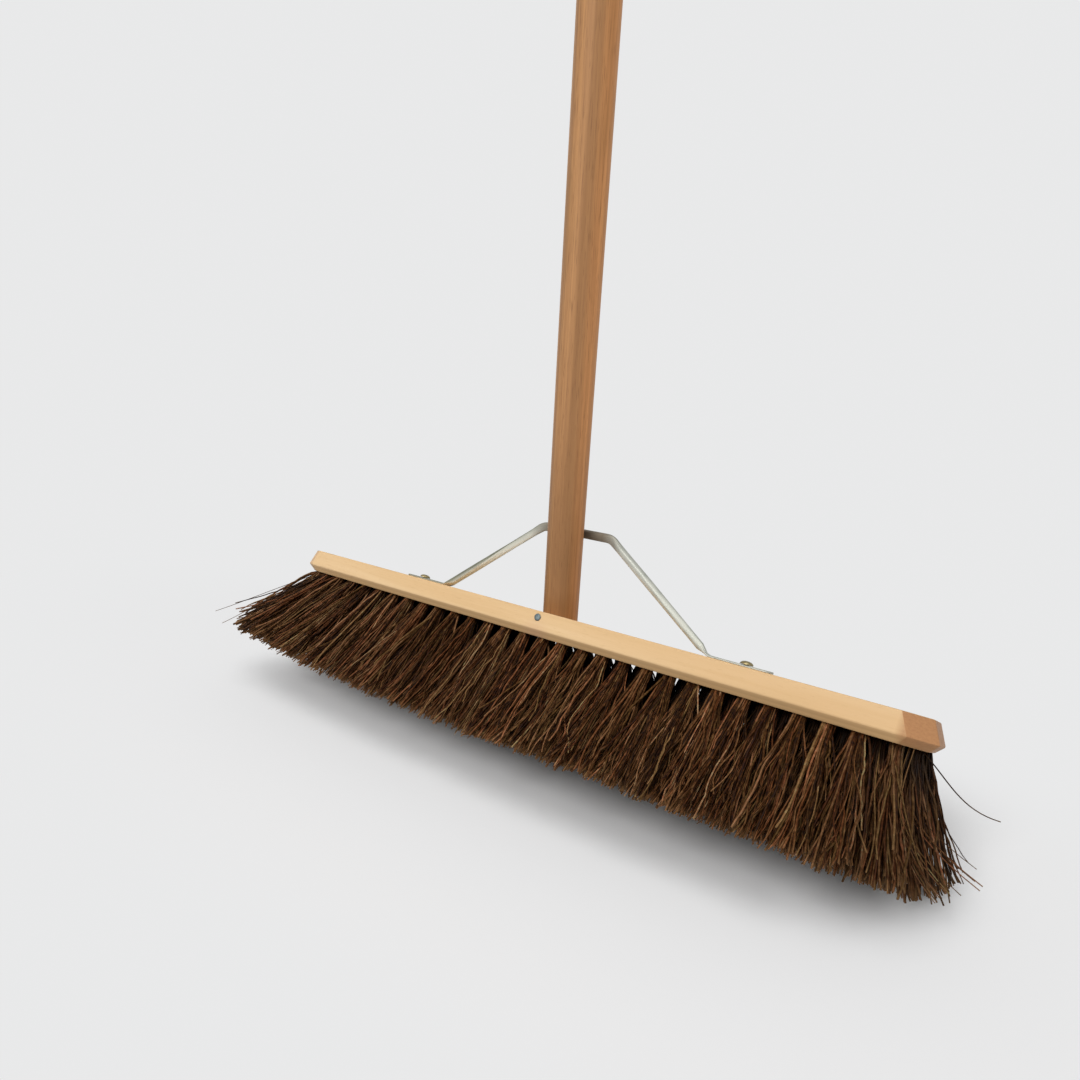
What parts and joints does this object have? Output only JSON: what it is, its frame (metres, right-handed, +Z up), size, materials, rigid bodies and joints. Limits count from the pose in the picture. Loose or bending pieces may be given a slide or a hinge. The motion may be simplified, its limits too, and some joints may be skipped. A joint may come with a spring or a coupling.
{
  "type": "wide floor broom",
  "caption": "Wide push broom with a pale wooden stock, dark natural fibre bristles, a round brown wooden handle and a bent steel stay.",
  "frame": {"origin": "on the floor under the middle of the bristles' reach, with the rear bristle tips touching the floor", "axes": "+Z up along the handle, +X along the stock, -Y towards the side that the bristles sweep forwards to"},
  "size_m": [0.6718, 0.159, 1.5219],
  "materials": {
    "pale_wood": "sanded bare beech",
    "brown_wood": "sanded bare hardwood",
    "fibre": "raw stiff palm fibre",
    "bright_steel": "bright zinc plated",
    "brassed_steel": "dull yellow plated",
    "blued_steel": "dull blue-grey nail"
  },
  "bodies": {
    "root": {"bristle_column_01": "fibre", "bristle_column_02": "fibre", "bristle_column_03": "fibre", "bristle_column_04": "fibre", "bristle_column_05": "fibre", "bristle_column_06": "fibre", "bristle_column_07": "fibre", "bristle_column_08": "fibre", "bristle_column_09": "fibre", "bristle_column_10": "fibre", "bristle_column_11": "fibre", "bristle_column_12": "fibre", "bristle_column_13": "fibre", "bristle_column_14": "fibre", "bristle_column_15": "fibre", "bristle_column_16": "fibre", "bristle_column_17": "fibre", "bristle_column_18": "fibre", "bristle_column_19": "fibre", "bristle_column_20": "fibre", "bristle_column_21": "fibre", "bristle_column_22": "fibre", "bristle_column_23": "fibre", "bristle_column_24": "fibre", "bristle_column_25": "fibre", "bristle_column_26": "fibre", "bristle_column_27": "fibre", "bristle_column_28": "fibre", "bristle_column_29": "fibre", "bristle_column_30": "fibre", "stock": "pale_wood", "handle": "brown_wood", "stay": "bright_steel", "foot_screw_left": "brassed_steel", "foot_screw_right": "brassed_steel", "saddle_screw": "brassed_steel", "locking_nail": "blued_steel"}
  },
  "joints": []
}
